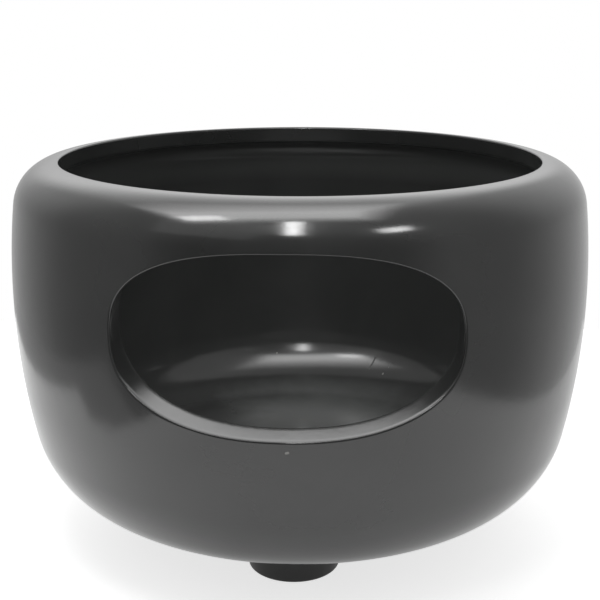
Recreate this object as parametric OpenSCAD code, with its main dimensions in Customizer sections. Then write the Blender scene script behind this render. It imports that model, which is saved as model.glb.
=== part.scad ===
// Round bronze hearth bowl for a tea room, with an oval fire window and three stub feet.
// Millimetres. +Z is up, the origin is on the ground under the bowl's axis, and the window faces -Y.

/* [Bowl] */
// Largest outer diameter
bowl_d = 303; // [280:1:330]
// Height of the bowl from its underside to the top of its rim
bowl_h = 182.7; // [174:0.1:196]
// Height of the widest place above the underside
widest_h = 116.5; // [108:0.5:120]
// Outer radius of the belly in section
belly_r = 370; // [300:5:460]
// Outer radius of the neck in section, where the belly draws in beside the head of the window
neck_r = 200; // [150:10:300]
// Outer radius of the rolled-in shoulder in section
shoulder_r = 22.6; // [19:0.2:26]
// Outer radius of the heel, where the belly turns under
heel_r = 53; // [40:1:60]
// Thickness of the cast wall
wall = 9; // [6:0.5:11]
// Thickness of the floor
floor_t = 13; // [12.5:0.5:18]
// Inside radius between the floor and the wall
floor_fillet_r = 40; // [30:1:44]

/* [Mouth] */
// Diameter of the mouth
mouth_d = 250.4; // [236:0.2:252]
// Rounding of the mouth's two edges
mouth_edge_r = 1; // [0.4:0.2:2]

/* [Fire window] */
// Width of the window, straight across between its ends
window_w = 154.2; // [120:0.2:170]
// Height of the window
window_h = 81.2; // [74:0.2:86]
// Height of the window's middle above the underside
window_mid_h = 121.6; // [118:0.2:124]
// How square the oval is: 2 is an ellipse, and more fills out its corners
window_fullness = 2.5; // [2:0.1:4]
// Depth of the sill at the foot of the window, through the wall and the thick border inside it
sill_depth = 21; // [14:0.5:24]
// Width of the thick border round the window, which runs out at the head of the window
border_w = 12; // [8:0.5:14]

/* [Feet] */
// Diameter of a foot
foot_d = 46.5; // [38:0.5:52]
// Height of a foot below the bowl
foot_h = 18; // [14:0.5:26]
// Rounding of a foot's lower edge
foot_edge_r = 1.6; // [0.6:0.2:4]
// Diameter of the circle that the feet stand on
foot_circle_d = 136; // [110:1:140]
// Diameter of the spigot that locates a foot in the bowl
spigot_d = 20; // [16:0.5:26]
// Height of the spigot
spigot_h = 5; // [3.5:0.5:5.5]
// Clearance round and above the spigot
spigot_clear = 0.15; // [0.1:0.05:0.3]

/* [Foot screws] */
// Diameter of the headless screw that holds a foot to the bowl
screw_d = 8; // [6:0.5:10]
// How far the screw goes into the foot
screw_grip = 14; // [10:0.5:16]
// How far the screw goes into the floor above the spigot
screw_rise = 5; // [3:0.5:5.5]
// Bevel of the screw's ends
screw_bevel = 0.8; // [0.4:0.1:1.2]
// Clearance round the screw
thread_clear = 0.05; // [0.03:0.01:0.1]
// Clearance above the screw
screw_clear = 0.4; // [0.2:0.1:0.6]

/* [Hidden] */
$fn = 160;

bronze = "#2e302f";
screw_bronze = "#5d5340";

base_z = foot_h;
floor_z = base_z + floor_t;
widest_z = base_z + widest_h;
rim_z = base_z + bowl_h;
window_z = base_z + window_mid_h;
mouth_r = mouth_d / 2;
foot_turns = [0, 240, 120];

// How far a cutting shape runs past the face that it cuts
past = 1;

// The neck starts just below the head of the window, and always below the shoulder
neck_drop = 4;
neck_z = min(window_z + window_h / 2 - neck_drop, rim_z - shoulder_r - past);
// Centres of the belly and of the neck in section, and the angle at which one turns into the other
belly_c = [bowl_d / 2 - belly_r, widest_z];
neck_a = asin((neck_z - widest_z) / belly_r);
neck_c = belly_c + polar(belly_r - neck_r, neck_a);

// Points round the window's outline
window_points = 120;
// Distances from the bowl's axis between which the window is cut
cut_near = bowl_d / 4;
cut_far = bowl_d / 2 + past;

// Heights of the foot and the head of the window
sill_z = window_z - window_h / 2;
head_z = window_z + window_h / 2;
// The border's inner face is a cone: as deep as the sill at the foot, and level with the wall at the head
sill_r = face_r(belly_c, belly_r, sill_z) - sill_depth;
head_r = face_r(neck_c, neck_r, head_z) - wall;

screw_low_z = base_z + spigot_h - screw_grip;
screw_top_z = base_z + spigot_h + screw_rise;

function polar(r, a) = [r * cos(a), r * sin(a)];

// Direction from one point to another
function bearing(from, to) = atan2(to[1] - from[1], to[0] - from[0]);

// Distance from the bowl's axis, at height z, of an arc
function face_r(c, r, z) = c[0] + sqrt(pow(r, 2) - pow(z - c[1], 2));

// Centre, at height z, of an arc that touches another from inside; their radii differ by reach
function arc_centre(outer_c, reach, z) = [outer_c[0] + sqrt(pow(reach, 2) - pow(z - outer_c[1], 2)), z];

// Slice of a disc between two angles
module sector(c, r, from, to) {
    reach = 2 * r;
    intersection() {
        translate(c) circle(r);
        polygon([c, c + polar(reach, from), c + polar(reach, (from + to) / 2), c + polar(reach, to)]);
    }
}

// Half section of a bulging bowl, inset from its outer face: low arc, belly, neck and top arc, each tangent
// to the next
module bulge(inset, low_r, low_z, top_r, top_z) {
    low_c = arc_centre(belly_c, belly_r - inset - low_r, low_z + low_r);
    top_c = arc_centre(neck_c, neck_r - inset - top_r, top_z - top_r);
    low_a = bearing(belly_c, low_c);
    top_a = bearing(neck_c, top_c);
    polygon([
        [0, low_z], [low_c[0], low_z],
        belly_c + polar(belly_r - inset, low_a), belly_c + polar(belly_r - inset, neck_a),
        neck_c + polar(neck_r - inset, top_a), [top_c[0], top_z], [0, top_z]
    ]);
    sector(low_c, low_r, -90, low_a);
    sector(top_c, top_r, top_a, 90);
    intersection() {
        union() {
            sector(belly_c, belly_r - inset, low_a, neck_a);
            sector(neck_c, neck_r - inset, neck_a, top_a);
        }
        translate([0, low_z]) square([bowl_d, top_z - low_z]);
    }
}

// What a round edge takes off a square corner; inward points from the corner into the material
module edge_cut(corner, inward, r) {
    difference() {
        translate(corner + inward * (r - past) / 2) square(r + past, center = true);
        translate(corner + inward * r) circle(r);
    }
}

module bowl_section() {
    difference() {
        bulge(0, heel_r, base_z, shoulder_r, rim_z);
        bulge(wall, floor_fillet_r, floor_z, shoulder_r - wall, rim_z - wall);
        translate([0, widest_z]) square([mouth_r, rim_z - widest_z + past]);
        edge_cut([mouth_r, rim_z], [1, -1], mouth_edge_r);
        edge_cut([mouth_r, rim_z - wall], [1, 1], mouth_edge_r);
    }
}

// One coordinate of the oval outline, from a cosine or a sine
function oval(half, c) = half * sign(c) * pow(abs(c), 2 / window_fullness);

module window_outline(grow) {
    half_w = window_w / 2 + grow;
    half_h = window_h / 2 + grow;
    polygon([for (i = [0 : window_points - 1])
        let (a = 360 * i / window_points) [oval(half_w, cos(a)), oval(half_h, sin(a))]]);
}

// The window is cut straight through, so that its sill lies level
module fire_window(grow) {
    translate([0, -cut_near, window_z])
        rotate([90, 0, 0])
            linear_extrude(cut_far - cut_near) window_outline(grow);
}

// Radius of the border's inner face at height z
function border_r(z) = sill_r + (head_r - sill_r) * (z - sill_z) / window_h;

// Thick border inside the wall, deepest at the sill and gone at the head of the window
module window_border() {
    // Half way into the wall, so that the border and the wall run into each other
    deep = wall / 2;
    intersection() {
        fire_window(border_w);
        rotate_extrude()
            difference() {
                bulge(deep, heel_r - deep, base_z + deep, shoulder_r - deep, rim_z - deep);
                polygon([[0, 0], [border_r(0), 0], [border_r(rim_z), rim_z], [0, rim_z]]);
            }
    }
}

// Puts a piece at one of the feet; turn 0 is under the window
module at_foot(turn) {
    rotate(turn) translate([0, -foot_circle_d / 2, 0]) children();
}

// Blind hole in the underside for a foot's spigot and its screw
module foot_seat() {
    translate([0, 0, base_z - past])
        cylinder(h = spigot_h + spigot_clear + past, d = spigot_d + 2 * spigot_clear);
    translate([0, 0, base_z])
        cylinder(h = screw_top_z + screw_clear - base_z, d = screw_d + 2 * thread_clear);
}

module furo_body() {
    color(bronze)
        difference() {
            union() {
                rotate_extrude() bowl_section();
                window_border();
            }
            fire_window(0);
            for (turn = foot_turns) at_foot(turn) foot_seat();
        }
}

module foot(turn) {
    color(bronze)
        at_foot(turn)
            difference() {
                rotate_extrude() {
                    difference() {
                        square([foot_d / 2, foot_h]);
                        edge_cut([foot_d / 2, 0], [-1, 1], foot_edge_r);
                    }
                    square([spigot_d / 2, base_z + spigot_h]);
                }
                translate([0, 0, screw_low_z])
                    cylinder(h = screw_grip + past, d = screw_d + 2 * thread_clear);
            }
}

module front_foot() {
    foot(foot_turns[0]);
}

module rear_left_foot() {
    foot(foot_turns[1]);
}

module rear_right_foot() {
    foot(foot_turns[2]);
}

module foot_screw() {
    r = screw_d / 2;
    rotate_extrude()
        polygon([
            [0, screw_low_z], [r - screw_bevel, screw_low_z], [r, screw_low_z + screw_bevel],
            [r, screw_top_z - screw_bevel], [r - screw_bevel, screw_top_z], [0, screw_top_z]
        ]);
}

module foot_screws() {
    color(screw_bronze)
        for (turn = foot_turns) at_foot(turn) foot_screw();
}

furo_body();
front_foot();
rear_left_foot();
rear_right_foot();
foot_screws();
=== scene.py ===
"""A black bronze furo brazier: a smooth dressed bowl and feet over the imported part, on a white table."""

import math

import bmesh
import bpy
import numpy as np
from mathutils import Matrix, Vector


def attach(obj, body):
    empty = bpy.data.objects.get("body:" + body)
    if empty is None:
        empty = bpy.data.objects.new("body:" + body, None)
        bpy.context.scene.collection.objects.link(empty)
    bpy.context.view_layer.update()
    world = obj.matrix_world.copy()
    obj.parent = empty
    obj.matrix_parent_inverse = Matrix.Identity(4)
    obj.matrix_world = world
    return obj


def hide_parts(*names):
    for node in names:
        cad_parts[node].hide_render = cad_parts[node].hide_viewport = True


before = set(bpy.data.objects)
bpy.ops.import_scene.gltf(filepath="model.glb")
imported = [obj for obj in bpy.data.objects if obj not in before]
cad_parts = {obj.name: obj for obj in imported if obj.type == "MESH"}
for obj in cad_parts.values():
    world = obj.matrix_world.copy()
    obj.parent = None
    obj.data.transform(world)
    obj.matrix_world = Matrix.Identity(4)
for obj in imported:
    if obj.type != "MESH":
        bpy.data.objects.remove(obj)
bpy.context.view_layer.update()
scene = bpy.context.scene

# Sizes in millimetres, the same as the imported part's; heights are above the ground
MM = 0.001
BOWL_R = 151.5
BASE_Z = 18.0
FLOOR_Z = 31.0
WIDEST_Z = 134.5
RIM_Z = 200.7
BELLY_R = 370.0
NECK_R = 200.0
NECK_DROP = 4.0
SHOULDER_R = 22.6
HEEL_R = 53.0
WALL = 9.0
FLOOR_FILLET = 40.0
MOUTH_R = 125.2
MOUTH_EDGE = 1.0
WINDOW_Z = 139.6
WINDOW_W = 154.2
WINDOW_H = 81.2
FULLNESS = 2.5
SILL_Z = WINDOW_Z - WINDOW_H / 2
HEAD_Z = WINDOW_Z + WINDOW_H / 2
SILL_DEPTH = 21.0
BORDER_W = 12.0
FOOT_R = 23.25
FOOT_EDGE = 1.6
FOOT_CIRCLE_R = 68.0
SPIGOT_R = 10.0
SPIGOT_H = 5.0
SPIGOT_CLEAR = 0.15
SCREW_R = 4.0
SCREW_GRIP = 14.0
SCREW_RISE = 5.0
SCREW_CLEAR = 0.4
THREAD_CLEAR = 0.05
FOOT_TURNS = {"front_foot": 0, "rear_left_foot": 240, "rear_right_foot": 120}

# Roundings of the window's edges, a crisp outer one and a soft inner one, and how far its ends close inwards
OUTER_EDGE = 0.75
INNER_EDGE = 6.0
END_TAPER = 1.4

# Width of the border's front beside its rounding: where the border runs out, and where it is at least as
# thick as given here
BORDER_LEAST_W = 1.5
BORDER_FRONT_W = BORDER_W - INNER_EDGE - 0.4
BORDER_FULL_T = 6.0
# Steps over the border's front and down its flank: share of the front's width, and share of the border left
FLANK = ((0, 1), (0.4, 1), (0.75, 1), (0.88, 0.92), (0.96, 0.68), (1.04, 0.32), (1.12, 0.08))
FLANK_END = 1.25

# Steps of the bowl's mesh: columns all the way round, and rows along its section
COLUMNS = 240
ROW_STEP = 2.0
SHOULDER_STEP = 1.0
FLAT_STEP = 2.0
FLOOR_RINGS = 16
EDGE_POINTS = 9
MOUTH_POINTS = 6
# Arcs that end level stop this many degrees short, and the flat that follows takes up the rest
LEVEL_GAP = 2
# The patch round the window: columns to each side, rows, lowest height and highest angle on the shoulder
PATCH_HALF = 32
PATCH_ROWS = 72
OUTER_PATCH = (66.5, 52)
INNER_PATCH = (72.5, 50)
# Rings between the window and the patch's rim lie closer together beside the window
OUTER_RINGS = 26
INNER_RINGS = 20
RING_POWER = 1.4
OUTER_EDGE_STEPS = 4
INNER_EDGE_STEPS = 8
LIP_STEPS = 6
# Points along a section where a height is looked up
HEIGHT_SAMPLES = 4001
OUTLINE_SAMPLES = 8001
# Steps of the feet's meshes and of their seats
FOOT_COLUMNS = 128
SEAT_COLUMNS = 64
FOOT_ROWS = 6
FOOT_BASE_R = 12.0
FOOT_BASE_GAP = 1.5
# Edges that turn by more than this many degrees are shaded as sharp
SHARP_ANGLE = 38

TURNS = (np.arange(COLUMNS) - COLUMNS // 2) * 2 * math.pi / COLUMNS
PATCH_LEFT = COLUMNS // 2 - PATCH_HALF
PATCH_RIGHT = COLUMNS // 2 + PATCH_HALF


def patch_rim():
    """Column and row steps once round the rim of the window's patch, from its lower left corner."""
    across = 2 * PATCH_HALF
    steps = [(i, 0) for i in range(across)]
    steps += [(across, j) for j in range(PATCH_ROWS)]
    steps += [(i, PATCH_ROWS) for i in range(across, 0, -1)]
    steps += [(0, j) for j in range(PATCH_ROWS, 0, -1)]
    return np.array(steps).T


RIM_I, RIM_J = patch_rim()


class Chain:
    """A run of tangent arcs in the (radius, height) plane, measured along its length."""

    def __init__(self, arcs):
        self.x, self.z, self.radius, start, end = (np.array(v, float) for v in zip(*arcs))
        self.start, end = np.radians(start), np.radians(end)
        self.stop = np.cumsum(self.radius * (end - self.start))
        self.begin = np.concatenate([[0.0], self.stop[:-1]])
        self.length = self.stop[-1]

    def at(self, s):
        """Radius, height and the angle of the outward normal at length s."""
        s = np.asarray(s, float)
        k = np.clip(np.searchsorted(self.stop, s), 0, len(self.stop) - 1)
        a = self.start[k] + (s - self.begin[k]) / self.radius[k]
        return self.x[k] + self.radius[k] * np.cos(a), self.z[k] + self.radius[k] * np.sin(a), a

    def point(self, turn, s):
        r, z, _ = self.at(s)
        return np.stack([r * np.sin(turn), -r * np.cos(turn), z], axis=-1)

    def length_at_height(self, z):
        s = np.linspace(0, self.length, HEIGHT_SAMPLES)
        return float(np.interp(z, self.at(s)[1], s))

    def radius_at_height(self, z):
        return float(self.at(self.length_at_height(z))[0])


def bulge(inset, low_r, low_z, top_r, top_z):
    """The bowl's section, inset from its outer face: low arc, belly, neck and top arc."""
    belly = np.array([BOWL_R - BELLY_R, WIDEST_Z])
    neck_a = math.asin((HEAD_Z - NECK_DROP - WIDEST_Z) / BELLY_R)
    neck = belly + (BELLY_R - NECK_R) * np.array([math.cos(neck_a), math.sin(neck_a)])

    def touching(c, reach, z):
        x = c[0] + math.sqrt(reach ** 2 - (z - c[1]) ** 2)
        return x, z, math.degrees(math.atan2(z - c[1], x - c[0]))

    low_x, low_c, low_a = touching(belly, BELLY_R - inset - low_r, low_z + low_r)
    top_x, top_c, top_a = touching(neck, NECK_R - inset - top_r, top_z - top_r)
    neck_a = math.degrees(neck_a)
    return Chain([
        (low_x, low_c, low_r, -90, low_a),
        (belly[0], belly[1], BELLY_R - inset, low_a, neck_a),
        (neck[0], neck[1], NECK_R - inset, neck_a, top_a),
        (top_x, top_c, top_r, top_a, 90 - LEVEL_GAP),
    ])


class Border(Chain):
    """The inner face of the wall, with the thick border of the window in front of it."""

    def __init__(self, face, low_r, high_r):
        self.face, self.length = face, face.length
        self.low_r, self.rise = low_r, (high_r - low_r) / WINDOW_H

    def at(self, s):
        r, z, a = self.face.at(s)
        front = self.low_r + self.rise * (z - SILL_Z)
        return np.minimum(r, front), z, np.where(front < r, -math.atan(self.rise), a)


class Face:
    """A face of the bowl: its section, the rows of its mesh, and the first row of the window's patch."""

    def __init__(self, chain, patch_low_z, patch_top_angle):
        self.chain = chain
        low = chain.length_at_height(patch_low_z)
        top = chain.begin[-1] + chain.radius[-1] * (math.radians(patch_top_angle) - chain.start[-1])
        below = np.linspace(0, low, int(low / ROW_STEP) + 2)
        middle = np.linspace(low, top, PATCH_ROWS + 1)
        above = np.linspace(top, chain.length, int((chain.length - top) / SHOULDER_STEP) + 4)
        self.rows = np.concatenate([below[:-1], middle, above[1:]])
        self.patch_row = len(below) - 1

    def rings_to_rim(self, turn, s, away, r, gap, count):
        """Rings on the face, from a small gap beside the window out to the patch's rim."""
        rim_turn, rim_s = TURNS[PATCH_LEFT + RIM_I], self.rows[self.patch_row + RIM_J]
        turn, s = turn + gap * away[:, 0] / r, s + gap * away[:, 1]
        shares = np.linspace(0, 1, count + 1)[:-1] ** RING_POWER
        return [self.chain.point(turn + t * (rim_turn - turn), s + t * (rim_s - s)) for t in shares]


def window_loop(chain, u, v, taper=0.0):
    """The window's outline on a face: turn and length for each direction (u, v) from its middle."""
    phi = np.arctan2(v, u)
    reach = (np.abs(np.cos(phi)) ** FULLNESS + np.abs(np.sin(phi)) ** FULLNESS) ** (-1 / FULLNESS)
    height = WINDOW_Z + WINDOW_H / 2 * reach * np.sin(phi)
    half_width = WINDOW_W / 2 - taper
    s = np.linspace(0, chain.length, OUTLINE_SAMPLES)
    r, z, _ = chain.at(s)
    turn = np.arcsin(half_width * reach * np.cos(phi) / np.interp(height, z, r))
    return turn, np.interp(height, z, s)


def along_face(chain, turn, s):
    """Edge points on a face, the ways in the face that lead square away from the hole, and radii."""
    r, _, a = chain.at(s)
    east = np.stack([np.cos(turn), np.sin(turn), np.zeros_like(turn)], axis=-1)
    north = np.stack([-np.sin(a) * np.sin(turn), np.sin(a) * np.cos(turn), np.cos(a)], axis=-1)
    p = chain.point(turn, s)
    edge = np.roll(p, -1, axis=0) - np.roll(p, 1, axis=0)
    e, n = (edge * east).sum(-1), (edge * north).sum(-1)
    away = np.stack([n, -e], axis=-1) / np.hypot(n, e)[:, None]
    return p, away, away[:, :1] * east + away[:, 1:] * north, r


def setback(a, b, radius):
    """How far from a corner a round edge starts."""
    return radius / np.tan(np.arccos(np.clip((a * b).sum(-1), -1, 1)) / 2)


def fillet(corner, a, b, radius, count):
    """Points of a round edge between two directions that leave a corner, from the a side to the b side."""
    half = np.arccos(np.clip((a * b).sum(-1), -1, 1))[:, None] / 2
    middle = (a + b) / np.linalg.norm(a + b, axis=-1, keepdims=True)
    centre = corner + middle * radius / np.sin(half)
    first = (corner + a * radius / np.tan(half) - centre) / radius
    last = (corner + b * radius / np.tan(half) - centre) / radius
    sweep = np.pi - 2 * half
    return [centre + radius * (np.sin((1 - t) * sweep) * first + np.sin(t * sweep) * last) / np.sin(sweep)
            for t in np.linspace(0, 1, count + 1)]


class Net:
    """Vertices and faces gathered in millimetres. Each vertex knows whether it is inside the bowl."""

    def __init__(self):
        self.points, self.inside, self.faces, self.count = [], [], [], 0

    def add(self, points, inside=0.0):
        points = np.asarray(points, float)
        self.points.append(points)
        self.inside += [inside] * len(points)
        self.count += len(points)
        return np.arange(self.count - len(points), self.count)

    def band(self, one, two):
        """Faces between two closed rings with the same number of points."""
        n = len(one)
        self.faces += [(one[i], one[(i + 1) % n], two[(i + 1) % n], two[i]) for i in range(n)]

    def bands(self, rings):
        for one, two in zip(rings, rings[1:]):
            self.band(one, two)

    def bmesh(self):
        bm = bmesh.new()
        layer = bm.verts.layers.float.new("inside")
        verts = [bm.verts.new(p * MM) for p in np.concatenate(self.points)]
        for vert, inside in zip(verts, self.inside):
            vert[layer] = inside
        for face in self.faces:
            bm.faces.new([verts[i] for i in face])
        return bm, verts


def new_object(name, bm):
    mesh = bpy.data.meshes.new(name)
    bmesh.ops.delete(bm, geom=[v for v in bm.verts if not v.link_faces], context="VERTS")
    bmesh.ops.recalc_face_normals(bm, faces=bm.faces)
    bm.to_mesh(mesh)
    bm.free()
    for polygon in mesh.polygons:
        polygon.use_smooth = True
    mesh.set_sharp_from_angle(angle=math.radians(SHARP_ANGLE))
    piece = bpy.data.objects.new(name, mesh)
    scene.collection.objects.link(piece)
    return piece


def fill_flat(bm, verts, loops):
    """Fills the flat face between an outer ring and the rings of its holes."""
    edges = []
    for loop in loops:
        for i in range(len(loop)):
            pair = verts[loop[i]], verts[loop[(i + 1) % len(loop)]]
            edges.append(bm.edges.get(pair) or bm.edges.new(pair))
    bmesh.ops.triangle_fill(bm, use_beauty=True, edges=edges)


def around(r, z):
    """A ring of the bowl's columns."""
    return np.stack([r * np.sin(TURNS), -r * np.cos(TURNS), np.full(COLUMNS, z)], axis=-1)


def ring(x, y, r, z, count):
    a = np.arange(count) * 2 * math.pi / count
    return np.stack([x + r * np.cos(a), y + r * np.sin(a), np.full(count, z)], axis=-1)


def round_edge(x, z, r, start, stop):
    """Points of a small arc in a section."""
    angles = np.radians(np.linspace(start, stop, EDGE_POINTS))
    return [(x + r * math.cos(a), z + r * math.sin(a)) for a in angles]


def foot_place(turn):
    a = math.radians(turn)
    return FOOT_CIRCLE_R * math.sin(a), -FOOT_CIRCLE_R * math.cos(a)


def bowl_profile(outer, inner):
    """The section from the underside, up over the rim and down to the floor, and its first point inside."""
    edge_x = MOUTH_R + MOUTH_EDGE
    r, z, _ = outer.chain.at(outer.rows)
    profile = [(r[0] - FLAT_STEP, BASE_Z)] + list(zip(r, z))
    profile += round_edge(edge_x, RIM_Z - MOUTH_EDGE, MOUTH_EDGE, 90 + LEVEL_GAP, 180)
    heights = np.linspace(RIM_Z - MOUTH_EDGE, RIM_Z - WALL + MOUTH_EDGE, MOUTH_POINTS)[1:-1]
    profile += [(MOUTH_R, h) for h in heights]
    inside_first = len(profile) + EDGE_POINTS // 2
    profile += round_edge(edge_x, RIM_Z - WALL + MOUTH_EDGE, MOUTH_EDGE, 180, 270 - LEVEL_GAP)
    r, z, _ = inner.chain.at(inner.rows[::-1])
    profile += list(zip(r, z)) + [(r[-1] - FLAT_STEP, FLOOR_Z)]
    return profile, inside_first


def window_rings(outer, inner):
    """Rings of points from the patch's rim outside to the window's lip, and from there to its rim inside."""
    u, v = RIM_I / PATCH_HALF - 1, 2 * RIM_J / PATCH_ROWS - 1
    sill_r = outer.chain.radius_at_height(SILL_Z) - SILL_DEPTH
    border = Border(inner.chain, sill_r, outer.chain.radius_at_height(HEAD_Z) - WALL)
    outer_turn, outer_s = window_loop(outer.chain, u, v)
    inner_turn, inner_s = window_loop(border, u, v, END_TAPER)
    p_out, away_out, a_out, r_out = along_face(outer.chain, outer_turn, outer_s)
    p_in, away_in, a_in, r_in = along_face(border, inner_turn, inner_s)
    lip = (p_in - p_out) / np.linalg.norm(p_in - p_out, axis=-1, keepdims=True)
    outer_round = fillet(p_out, a_out, lip, OUTER_EDGE, OUTER_EDGE_STEPS)
    inner_round = fillet(p_in, -lip, a_in, INNER_EDGE, INNER_EDGE_STEPS)
    lip_shares = np.linspace(0, 1, LIP_STEPS + 1)[1:-1]
    flat = [outer_round[-1] + t * (inner_round[0] - outer_round[-1]) for t in lip_shares]
    gap = setback(a_out, lip, OUTER_EDGE)
    outside = outer.rings_to_rim(outer_turn, outer_s, away_out, r_out, gap, OUTER_RINGS)[::-1]
    outside += outer_round[1:] + flat

    # Over the border's front, and down its flank to the wall; it runs out at the head of the window
    start = setback(-lip, a_in, INNER_EDGE)
    thick = np.clip((inner.chain.at(inner_s)[0] - r_in) / BORDER_FULL_T, 0, 1)
    width = BORDER_LEAST_W + (BORDER_FRONT_W - BORDER_LEAST_W) * thick

    def over_border(share, weight):
        gap = start + share * width
        turn, s = inner_turn + gap * away_in[:, 0] / r_in, inner_s + gap * away_in[:, 1]
        return weight * border.point(turn, s) + (1 - weight) * inner.chain.point(turn, s)

    within = inner_round[:-1] + [over_border(*step) for step in FLANK]
    gap = start + FLANK_END * width
    within += inner.rings_to_rim(inner_turn, inner_s, away_in, r_in, gap, INNER_RINGS)
    return outside, within


def add_seats(net):
    """Blind seats of the feet and their screws in the underside; returns the rings where they start."""
    seat_r, hole_r = SPIGOT_R + SPIGOT_CLEAR, SCREW_R + THREAD_CLEAR
    seat_z = BASE_Z + SPIGOT_H + SPIGOT_CLEAR
    top_z = BASE_Z + SPIGOT_H + SCREW_RISE + SCREW_CLEAR
    seat = [(seat_r, BASE_Z), (seat_r, seat_z), (hole_r, seat_z), (hole_r, top_z)]
    starts = []
    for turn in FOOT_TURNS.values():
        x, y = foot_place(turn)
        tube = [net.add(ring(x, y, r, z, SEAT_COLUMNS)) for r, z in seat]
        net.bands(tube)
        net.faces.append(tuple(tube[-1]))
        starts.append(tube[0])
    return starts


def make_body():
    outer = Face(bulge(0, HEEL_R, BASE_Z, SHOULDER_R, RIM_Z), *OUTER_PATCH)
    inner = Face(bulge(WALL, FLOOR_FILLET, FLOOR_Z, SHOULDER_R - WALL, RIM_Z - WALL), *INNER_PATCH)
    profile, inside_first = bowl_profile(outer, inner)
    net = Net()
    grid = np.stack([net.add(around(r, z), float(j >= inside_first)) for j, (r, z) in enumerate(profile)])

    # Rows of the grid that the window's patch takes out, on the outer face and on the inner; the first row of
    # the profile lies on the underside and its last on the floor
    outer_low = 1 + outer.patch_row
    inner_low = len(profile) - 2 - inner.patch_row
    taken = ((outer_low, outer_low + PATCH_ROWS), (inner_low - PATCH_ROWS, inner_low))
    for j in range(len(profile) - 1):
        patched = any(a <= j < b for a, b in taken)
        for i in range(COLUMNS):
            if not (patched and PATCH_LEFT <= i < PATCH_RIGHT):
                k = (i + 1) % COLUMNS
                net.faces.append((grid[j, i], grid[j, k], grid[j + 1, k], grid[j + 1, i]))

    outside, within = window_rings(outer, inner)
    rings = [grid[outer_low + RIM_J, PATCH_LEFT + RIM_I]]
    rings += [net.add(points) for points in outside]
    rings += [net.add(points, 1.0) for points in within]
    rings.append(grid[inner_low - RIM_J, PATCH_LEFT + RIM_I])
    net.bands(rings)
    base_loops = [grid[0]] + add_seats(net)

    # The floor, in rings that close on its middle
    rings = [grid[-1]]
    for r in np.linspace(profile[-1][0], 0, FLOOR_RINGS)[1:-1]:
        rings.append(net.add(around(r, FLOOR_Z), 1.0))
    net.bands(rings)
    net.faces.append(tuple(rings[-1]))
    bm, verts = net.bmesh()
    fill_flat(bm, verts, base_loops)
    return new_object("bowl", bm)


def make_foot(name, turn):
    """A foot turned on its own axis, with its spigot and the hole for its screw."""
    x, y = foot_place(turn)
    edge_x, hole_r = FOOT_R - FOOT_EDGE, SCREW_R + THREAD_CLEAR
    spigot_z = BASE_Z + SPIGOT_H
    profile = [(FOOT_BASE_R, 0.0), (edge_x - FOOT_BASE_GAP, 0.0)]
    profile += round_edge(edge_x, FOOT_EDGE, FOOT_EDGE, -90, 0)
    profile += [(FOOT_R, h) for h in np.linspace(FOOT_EDGE, BASE_Z, FOOT_ROWS)[1:]]
    profile += [(SPIGOT_R, BASE_Z), (SPIGOT_R, spigot_z), (hole_r, spigot_z), (hole_r, spigot_z - SCREW_GRIP)]
    net = Net()
    rings = [net.add(ring(x, y, r, z, FOOT_COLUMNS)) for r, z in profile]
    net.bands(rings)
    net.faces += [tuple(rings[0][::-1]), tuple(rings[-1])]
    bm, _ = net.bmesh()
    return new_object(name, bm)


# Colours of the materials; each pair is mixed by the material's clouds
PATINA = ((0.024, 0.0248, 0.0243, 1), (0.034, 0.0350, 0.0342, 1))
GREY_INSIDE = ((0.043, 0.0442, 0.0432, 1), (0.052, 0.0532, 0.0520, 1))
# Painted light: the inside under the rim is painted paler, for the light that reaches it there
PAINTED_LIGHT_UNDER_RIM = (0.120, 0.1230, 0.1205, 1)
# Painted light: a paler patch on the floor, for light that falls and reflects there
PAINTED_FLOOR_LIGHT = ((0.120, 0.1240, 0.1215, 1), (0.143, 0.1470, 0.1440, 1))
SPECK = (0.42, 0.41, 0.39, 1)
# Painted shade: the feet get a darker, duller copy of the patina, for the shade under the bowl
SHADED_FOOT_PATINA = ((0.022, 0.0225, 0.022, 1), (0.034, 0.0345, 0.033, 1))
SCREW_BRONZE = ((0.055, 0.043, 0.028, 1), (0.105, 0.082, 0.050, 1))
PATINA_IOR = 1.75
SHADED_FOOT_IOR = 1.55
SCREW_METALLIC = 0.7

# Heights between which the inside is painted paler under the rim, a painted light, and between which the
# floor turns less smooth and takes a painted pool of light
UNDER_RIM_Z = (165.0, 186.0)
HEARTH_Z = (FLOOR_Z + 8, FLOOR_Z + 0.5)
# The hearth's painted pool of light is an ellipse with a ragged soft edge: middle, half sizes, and the edge's
# start and end
LIGHT_POOL_X, LIGHT_POOL_Y = 12.0, 35.0
LIGHT_POOL_HALF_W, LIGHT_POOL_HALF_D = 66.0, 110.0
LIGHT_POOL_EDGE = (0.55, 1.15)
LIGHT_POOL_RAGGED = 0.15
# How much rougher the hearth and the scratches are than the patina, and how far specks hide it
HEARTH_ROUGH = 0.085
SCRATCH_ROUGH = 0.5
SPECK_COVER = 0.8
# Short marks: start, end, half width and strength
SCRATCHES = (
    ((44.9, 121.9, 49.5), (40.6, 117.6, 42.4), 0.45, 1.0),
    ((54.4, 116.4, 48.3), (53.2, 114.6, 44.6), 0.40, 0.5),
)
SPECKS = (
    ((49.4, 112.1, 40.9), (49.6, 112.3, 41.6), 0.50, 1.0),
    ((-21.5, 128.0, 49.3), (-21.2, 128.0, 49.4), 0.45, 1.0),
    ((0.8, -149.4, 93.9), (1.6, -149.4, 94.1), 0.55, 1.0),
)
# A mark's edge is soft between these shares of its half width
MARK_EDGE = (0.6, 1.4)


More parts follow.
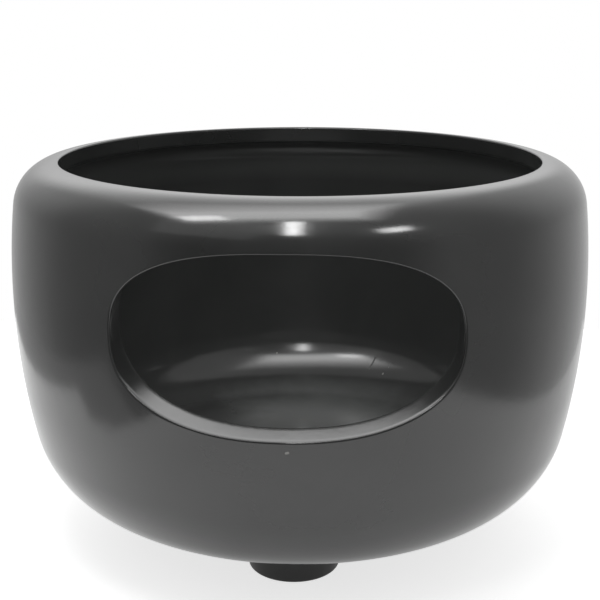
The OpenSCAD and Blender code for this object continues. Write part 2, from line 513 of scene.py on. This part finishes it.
class Nodes:
    """A material's node tree, with short calls for the nodes used here."""

    def __init__(self, name):
        self.material = bpy.data.materials.new(name)
        self.material.use_nodes = True
        self.tree = self.material.node_tree
        self.bsdf = self.tree.nodes["Principled BSDF"]
        self.where = self.tree.nodes.new("ShaderNodeTexCoord").outputs["Object"]
        split = self.tree.nodes.new("ShaderNodeSeparateXYZ")
        self.put(split.inputs[0], self.where)
        self.side, self.depth, self.height = split.outputs

    def put(self, socket, value):
        if isinstance(value, bpy.types.NodeSocket):
            self.tree.links.new(value, socket)
        else:
            socket.default_value = value

    def attribute(self, name):
        n = self.tree.nodes.new("ShaderNodeAttribute")
        n.attribute_name = name
        return n.outputs["Fac"]

    def noise(self, scale, detail=4.0, rough=0.5, distortion=0.0):
        n = self.tree.nodes.new("ShaderNodeTexNoise")
        self.put(n.inputs["Vector"], self.where)
        settings = {"Scale": scale, "Detail": detail, "Roughness": rough, "Distortion": distortion}
        for key, value in settings.items():
            n.inputs[key].default_value = value
        return n.outputs["Fac"]

    def span(self, value, low, high, to_low, to_high):
        """Takes a value from one range to another, and holds it at the range's ends."""
        n = self.tree.nodes.new("ShaderNodeMapRange")
        settings = {"Value": value, "From Min": low, "From Max": high, "To Min": to_low, "To Max": to_high}
        for key, setting in settings.items():
            self.put(n.inputs[key], setting)
        return n.outputs["Result"]

    def math(self, kind, a, b=0.0):
        n = self.tree.nodes.new("ShaderNodeMath")
        n.operation = kind
        self.put(n.inputs[0], a)
        self.put(n.inputs[1], b)
        return n.outputs[0]

    def hypot(self, a, b):
        squares = self.math("ADD", self.math("MULTIPLY", a, a), self.math("MULTIPLY", b, b))
        return self.math("SQRT", squares)

    def mark(self, start, end, half_width):
        """1 on a short line between two points in millimetres, 0 beside it."""
        start, end = Vector(start) * MM, Vector(end) * MM
        run = end - start

        def vector(kind, a, b):
            n = self.tree.nodes.new("ShaderNodeVectorMath")
            n.operation = kind
            self.put(n.inputs[0], a)
            self.put(n.inputs["Scale" if kind == "SCALE" else 1], b)
            return n.outputs["Value" if kind in ("DOT_PRODUCT", "DISTANCE") else "Vector"]

        from_start = vector("SUBTRACT", self.where, start)
        along = self.span(vector("DOT_PRODUCT", from_start, run), 0.0, run.length_squared, 0.0, 1.0)
        off = vector("DISTANCE", from_start, vector("SCALE", run, along))
        edge_start, edge_end = (share * half_width * MM for share in MARK_EDGE)
        return self.span(off, edge_start, edge_end, 1.0, 0.0)

    def marks(self, lines):
        """The strongest of several marks at each place."""
        strongest = 0.0
        for start, end, half_width, strength in lines:
            mark = self.math("MULTIPLY", self.mark(start, end, half_width), strength)
            strongest = self.math("MAXIMUM", strongest, mark)
        return strongest

    def mix(self, share, a, b):
        n = self.tree.nodes.new("ShaderNodeMix")
        n.data_type = "RGBA"
        self.put(n.inputs["Factor"], share)
        self.put(n.inputs["A"], a)
        self.put(n.inputs["B"], b)
        return n.outputs["Result"]

    def bump(self, height, strength, distance, below=None):
        n = self.tree.nodes.new("ShaderNodeBump")
        self.put(n.inputs["Height"], height)
        n.inputs["Strength"].default_value = strength
        n.inputs["Distance"].default_value = distance
        if below is not None:
            self.put(n.inputs["Normal"], below)
        return n.outputs["Normal"]


def black_bronze(name):
    """Glossy black patina; grey inside the bowl, with painted light under its rim, and less smooth on its
    floor, with a painted pool of light there.
    """
    m = Nodes(name)
    clouds = m.noise(16.0, 5.0, 0.55, 0.4)
    grain = m.noise(420.0, 3.0, 0.6)
    ripple = m.noise(70.0, 2.0)
    share = m.span(clouds, 0.35, 0.68, 0.0, 1.0)

    # Where the surface is inside the bowl, under its rim where light is painted, on its floor and in the
    # floor's painted pool of light
    inside = m.attribute("inside")
    rim_low, rim_high = (z * MM for z in UNDER_RIM_Z)
    under_rim = m.math("MULTIPLY", inside, m.span(m.height, rim_low, rim_high, 0.0, 1.0))
    hearth_high, hearth_low = (z * MM for z in HEARTH_Z)
    hearth = m.math("MULTIPLY", inside, m.span(m.height, hearth_high, hearth_low, 0.0, 1.0))
    across = m.math("DIVIDE", m.math("SUBTRACT", m.side, LIGHT_POOL_X * MM), LIGHT_POOL_HALF_W * MM)
    along = m.math("DIVIDE", m.math("SUBTRACT", m.depth, LIGHT_POOL_Y * MM), LIGHT_POOL_HALF_D * MM)
    ragged = m.span(m.noise(40.0, 4.0), 0.3, 0.7, -LIGHT_POOL_RAGGED, LIGHT_POOL_RAGGED)
    light_pool = m.span(m.math("ADD", m.hypot(across, along), ragged), *LIGHT_POOL_EDGE, 1.0, 0.0)
    light_pool = m.math("MULTIPLY", hearth, light_pool)

    # Under the rim the inside takes a paler colour, which is painted light
    within = m.mix(under_rim, m.mix(share, *GREY_INSIDE), PAINTED_LIGHT_UNDER_RIM)
    tone = m.mix(inside, m.mix(share, *PATINA), within)
    # The paler ellipse on the floor is a painted pool of light
    tone = m.mix(light_pool, tone, m.mix(share, *PAINTED_FLOOR_LIGHT))
    cover = m.math("MULTIPLY", m.marks(SPECKS), SPECK_COVER)
    m.put(m.bsdf.inputs["Base Color"], m.mix(cover, tone, SPECK))

    rough = m.math("ADD", m.span(clouds, 0.3, 0.7, 0.135, 0.170), m.span(grain, 0.3, 0.7, -0.012, 0.012))
    scratched = m.math("MULTIPLY", m.marks(SCRATCHES), SCRATCH_ROUGH)
    worn = m.math("ADD", m.math("MULTIPLY", hearth, HEARTH_ROUGH), scratched)
    m.put(m.bsdf.inputs["Roughness"], m.math("ADD", rough, worn))
    m.bsdf.inputs["IOR"].default_value = PATINA_IOR
    m.put(m.bsdf.inputs["Normal"], m.bump(ripple, 0.25, 0.0002, m.bump(grain, 0.2, 0.00005)))
    return m.material


def foot_bronze(name):
    """The feet's patina, a duller, slightly darker copy of the bowl's: painted shade for the shade they stand
    in under the bowl.
    """
    m = Nodes(name)
    clouds = m.noise(60.0, 5.0, 0.6, 0.3)
    m.put(m.bsdf.inputs["Base Color"], m.mix(m.span(clouds, 0.35, 0.68, 0.0, 1.0), *SHADED_FOOT_PATINA))
    m.put(m.bsdf.inputs["Roughness"], m.span(clouds, 0.3, 0.7, 0.32, 0.45))
    m.bsdf.inputs["IOR"].default_value = SHADED_FOOT_IOR
    m.put(m.bsdf.inputs["Normal"], m.bump(m.noise(500.0, 4.0), 0.3, 0.0001))
    return m.material


def dull_bronze(name):
    """The screws' bare bronze, dulled."""
    m = Nodes(name)
    clouds = m.noise(160.0, 4.0, 0.6)
    m.put(m.bsdf.inputs["Base Color"], m.mix(m.span(clouds, 0.35, 0.65, 0.0, 1.0), *SCREW_BRONZE))
    m.bsdf.inputs["Metallic"].default_value = SCREW_METALLIC
    m.put(m.bsdf.inputs["Roughness"], m.span(clouds, 0.3, 0.7, 0.38, 0.52))
    m.put(m.bsdf.inputs["Normal"], m.bump(m.noise(900.0, 3.0), 0.2, 0.00005))
    return m.material


def give(piece, material):
    piece.data.materials.clear()
    piece.data.materials.append(material)


bronze = black_bronze("black_bronze_patina")
shaded_foot_bronze = foot_bronze("black_bronze_shaded_feet")
screw_bronze = dull_bronze("screw_bronze_dull")

bowl = make_body()
give(bowl, bronze)
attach(bowl, "root")
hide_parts("furo_body")

for foot, turn in FOOT_TURNS.items():
    piece = make_foot("stub_" + foot, turn)
    give(piece, shaded_foot_bronze)
    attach(piece, "root")
    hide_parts(foot)

give(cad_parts["foot_screws"], screw_bronze)

# Stage, light and camera, in metres
TABLE = (
    (-0.344, 0.36), (-0.344, -0.09), (-0.272, -0.115), (-0.240, -0.16), (-0.215, -0.36),
    (0.320, -0.36), (0.320, 0.36),
)
TABLE_DROP = 0.0002
BOARD = ((-0.445, 0.36), (-0.445, -0.215), (-0.2, -0.215), (-0.2, 0.36))
BOARD_DROP = 0.004
BOARD_GLOW = 0.37

# Sheets of the overhead panel: width, depth, y and watts per square metre of the top one and of the lowest
PANEL_SHEETS = 5
PANEL_TOP = (0.40, 0.27, -0.11, 1.5)
PANEL_LOWEST = (0.30, 0.09, -0.145, 3.3)
PANEL_X, PANEL_Z = -0.055, 0.469
PANEL_GAP = 0.001
PANEL_TURN = 8

EYE = (0.0272, -0.5994, 0.2841)
EYE_TILT, EYE_TURN = 74.81, 2.6
LENS, SENSOR = 68.25, 36.0
CLIP_START = 0.01


def lay(name, outline, drop, material):
    """A flat sheet of the stage, a little below the object's feet."""
    bm = bmesh.new()
    bm.faces.new([bm.verts.new((x, y, 0)) for x, y in outline])
    sheet = new_object(name, bm)
    sheet.location = (0, 0, -drop)
    give(sheet, material)


def paint(name, dark, light, camera_glow):
    """A matt paint; also returns its glow as the camera sees it, and where it is seen in a reflection."""
    m = Nodes(name)
    tones = [(tone, tone, tone, 1) for tone in (dark, light)]
    m.put(m.bsdf.inputs["Base Color"], m.mix(m.span(m.noise(6.0, 3.0), 0.3, 0.7, 0.0, 1.0), *tones))
    m.bsdf.inputs["Roughness"].default_value = 0.9
    m.bsdf.inputs["Specular IOR Level"].default_value = 0.1
    m.bsdf.inputs["Emission Color"].default_value = (1, 1, 1, 1)
    path = m.tree.nodes.new("ShaderNodeLightPath").outputs
    mirrored = m.math("MAXIMUM", path["Is Glossy Ray"], path["Is Transmission Ray"])
    return m, m.math("MULTIPLY", path["Is Camera Ray"], camera_glow), mirrored


def make_floor():
    """A white table top that keeps the object's shadow, over a grey board that stands out beside it."""
    m, seen, mirrored = paint("pale_floor", 0.78, 0.80, 0.72)
    # Reflections see the table brighter towards both sides and near the object, but less on its middle line
    glow = m.math("ADD", m.span(m.side, 0.12, 0.3, 0.37, 0.53), m.span(m.side, -0.12, -0.3, 0.0, 0.33))
    near = m.span(m.hypot(m.side, m.depth), 0.27, 0.13, 0.0, 0.26)
    near = m.math("MULTIPLY", near, m.span(m.side, -0.1, 0.05, 1.35, 0.9))
    near = m.math("MULTIPLY", near, m.span(m.math("ABSOLUTE", m.side), 0.03, 0.12, 0.35, 1.0))
    glow = m.math("MULTIPLY", mirrored, m.math("ADD", glow, near))
    m.put(m.bsdf.inputs["Emission Strength"], m.math("ADD", seen, glow))
    lay("floor", TABLE, TABLE_DROP, m.material)
    m, seen, mirrored = paint("grey_board", 0.28, 0.30, 1.0)
    glow = m.math("MULTIPLY", mirrored, BOARD_GLOW)
    m.put(m.bsdf.inputs["Emission Strength"], m.math("ADD", seen, glow))
    lay("board", BOARD, BOARD_DROP, m.material)


def make_world():
    """White to the camera; to the object, a white wall behind it and a dim room elsewhere."""
    world = bpy.data.worlds.new("studio")
    scene.world = world
    world.use_nodes = True
    tree = world.node_tree
    back = tree.nodes["Background"]
    split = tree.nodes.new("ShaderNodeSeparateXYZ")
    tree.links.new(tree.nodes.new("ShaderNodeTexCoord").outputs["Generated"], split.inputs[0])

    def ramp(value, low, high, to_low, to_high):
        n = tree.nodes.new("ShaderNodeMapRange")
        n.interpolation_type = "SMOOTHSTEP"
        tree.links.new(value, n.inputs["Value"])
        settings = {"From Min": low, "From Max": high, "To Min": to_low, "To Max": to_high}
        for key, setting in settings.items():
            n.inputs[key].default_value = setting
        return n.outputs["Result"]

    def join(kind, a, b):
        n = tree.nodes.new("ShaderNodeMath")
        n.operation = kind
        tree.links.new(a, n.inputs[0])
        tree.links.new(b, n.inputs[1])
        return n.outputs[0]

    # The room is darkest in front, brightest behind, and a little brighter to the right
    side, depth, height = split.outputs
    room = join("ADD", ramp(depth, -0.85, -0.45, 0.12, 0.34), ramp(depth, -0.1, 0.8, 0.0, 0.33))
    room = join("MULTIPLY", room, ramp(side, -0.6, 0.6, 0.92, 1.13))
    # The wall stands behind, fades in above the horizon, and dims towards the top and both sides
    wall = join("MULTIPLY", ramp(height, 0.0, 0.5, 0.0, 1.0), ramp(height, 0.45, 0.9, 1.16, 0.55))
    ends = join("MULTIPLY", ramp(side, -0.65, -0.38, 0.2, 1.0), ramp(side, 0.2, 0.4, 1.0, 0.15))
    wall = join("MULTIPLY", join("MULTIPLY", wall, ends), ramp(depth, 0.1, 0.45, 0.0, 1.0))
    path = tree.nodes.new("ShaderNodeLightPath")
    back.inputs["Color"].default_value = (1, 1, 1, 1)
    light = join("MAXIMUM", join("ADD", room, wall), path.outputs["Is Camera Ray"])
    tree.links.new(light, back.inputs["Strength"])


def area(name, place, aim, width, height, watts, turn=0, spread=180):
    light = bpy.data.lights.new(name, "AREA")
    light.shape = "RECTANGLE"
    light.size, light.size_y = width, height
    light.energy, light.spread = watts, math.radians(spread)
    lamp = bpy.data.objects.new(name, light)
    lamp.location = place
    lamp.rotation_euler = (Vector(aim) - Vector(place)).to_track_quat("-Z", "Y").to_euler()
    lamp.rotation_euler.z += math.radians(turn)
    lamp.visible_camera = False
    scene.collection.objects.link(lamp)


def make_panel():
    """An overhead panel that fades at its edges: each sheet is smaller and brighter than the one above it."""
    for i in range(PANEL_SHEETS):
        share = i / (PANEL_SHEETS - 1)
        width, depth, y, power = (a + (b - a) * share for a, b in zip(PANEL_TOP, PANEL_LOWEST))
        place = (PANEL_X, y, PANEL_Z - PANEL_GAP * i)
        area(f"panel_{i}", place, (PANEL_X, y, 0), width, depth, power * width * depth, turn=PANEL_TURN)


def make_lamps():
    """The panel's hot end and the smaller lamps, each with its place, aim, width, height and watts."""
    area("panel_hot_end", (-0.160, -0.19, 0.46), (-0.160, -0.19, 0), 0.095, 0.055, 0.085, turn=PANEL_TURN)
    area("strip_above_camera", (0.002, -0.247, 0.348), (0.0, -0.085, 0.145), 0.023, 0.11, 0.115)
    area("lamp_right", (0.176, -0.262, 0.362), (0.04, -0.136, 0.19), 0.06, 0.045, 0.0021, spread=30)
    area("left_reflector", (-0.233, -0.377, 0.524), (-0.06, -0.13, 0.19), 0.35, 0.30, 0.085)


def make_camera():
    camera = bpy.data.cameras.new("camera")
    camera.lens, camera.sensor_width = LENS, SENSOR
    camera.clip_start = CLIP_START
    eye = bpy.data.objects.new("camera", camera)
    eye.location = EYE
    eye.rotation_euler = (math.radians(EYE_TILT), 0, math.radians(EYE_TURN))
    scene.collection.objects.link(eye)
    scene.camera = eye


make_floor()
make_world()
make_panel()
make_lamps()
make_camera()
scene.view_settings.view_transform = "Standard"
